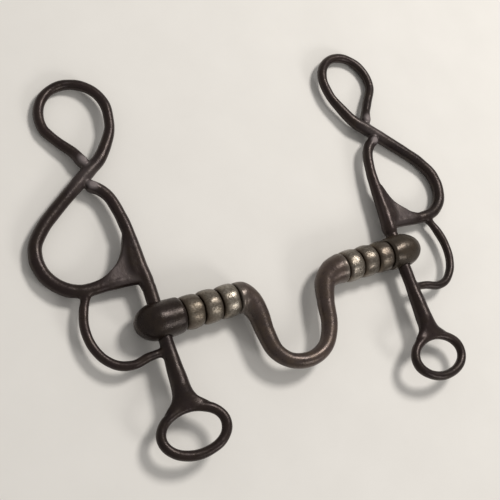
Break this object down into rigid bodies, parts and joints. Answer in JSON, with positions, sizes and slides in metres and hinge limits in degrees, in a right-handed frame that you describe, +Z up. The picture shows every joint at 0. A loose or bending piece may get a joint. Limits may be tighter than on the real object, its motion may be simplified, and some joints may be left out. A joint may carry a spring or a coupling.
{
  "type": "horse bit",
  "caption": "Loose-cheek curb bit with a high port, rollers on the mouthpiece and figure-eight rein shanks, lying flat.",
  "frame": {"origin": "on the table, under the middle of the bit as it lies flat", "axes": "+X along the mouthpiece from the left cheek to the right one, +Y toward the rein end of the cheeks, +Z up from the table"},
  "size_m": [0.2304, 0.186, 0.0176],
  "materials": {
    "forged_iron": "satin",
    "worn_iron": "satin",
    "grey_iron": "matte"
  },
  "bodies": {
    "mouthpiece": {"port_bar": "forged_iron", "left_boss": "forged_iron", "right_boss": "forged_iron"},
    "left_cheek": {"left_cheek_rod": "forged_iron", "left_rein_scroll": "forged_iron", "left_gusset": "grey_iron", "left_bow": "forged_iron"},
    "left_roller_1": {"left_roller_1": "worn_iron"},
    "left_roller_2": {"left_roller_2": "worn_iron"},
    "left_roller_3": {"left_roller_3": "worn_iron"},
    "right_cheek": {"right_cheek_rod": "forged_iron", "right_rein_scroll": "forged_iron", "right_gusset": "grey_iron", "right_bow": "forged_iron"},
    "right_roller_1": {"right_roller_1": "worn_iron"},
    "right_roller_2": {"right_roller_2": "worn_iron"},
    "right_roller_3": {"right_roller_3": "worn_iron"}
  },
  "joints": [
    {"name": "left_cheek_swivel", "type": "hinge", "parent": "mouthpiece", "child": "left_cheek", "pos_m": [-0.06755, -0.02863, 0.00886], "axis": [0, 0.9993, -0.0373], "range_deg": [-152, 152]},
    {"name": "right_cheek_swivel", "type": "hinge", "parent": "mouthpiece", "child": "right_cheek", "pos_m": [0.06845, -0.02863, 0.00886], "axis": [0, 0.9993, -0.0373], "range_deg": [-152, 152]},
    {"name": "left_roller_1_spin", "type": "hinge", "parent": "mouthpiece", "child": "left_roller_1", "pos_m": [-0.05222, -0.02953, 0.0089], "axis": [0.999, 0.0436, -0.0016], "continuous": true},
    {"name": "left_roller_2_spin", "type": "hinge", "parent": "mouthpiece", "child": "left_roller_2", "pos_m": [-0.04288, -0.02912, 0.00888], "axis": [0.999, 0.0436, -0.0016], "continuous": true},
    {"name": "left_roller_3_spin", "type": "hinge", "parent": "mouthpiece", "child": "left_roller_3", "pos_m": [-0.03353, -0.02871, 0.00886], "axis": [0.999, 0.0436, -0.0016], "continuous": true},
    {"name": "right_roller_1_spin", "type": "hinge", "parent": "mouthpiece", "child": "right_roller_1", "pos_m": [0.05611, -0.0248, 0.00872], "axis": [0.999, 0.0436, -0.0016], "continuous": true},
    {"name": "right_roller_2_spin", "type": "hinge", "parent": "mouthpiece", "child": "right_roller_2", "pos_m": [0.04677, -0.02521, 0.00873], "axis": [0.999, 0.0436, -0.0016], "continuous": true},
    {"name": "right_roller_3_spin", "type": "hinge", "parent": "mouthpiece", "child": "right_roller_3", "pos_m": [0.03743, -0.02562, 0.00875], "axis": [0.999, 0.0436, -0.0016], "continuous": true}
  ]
}
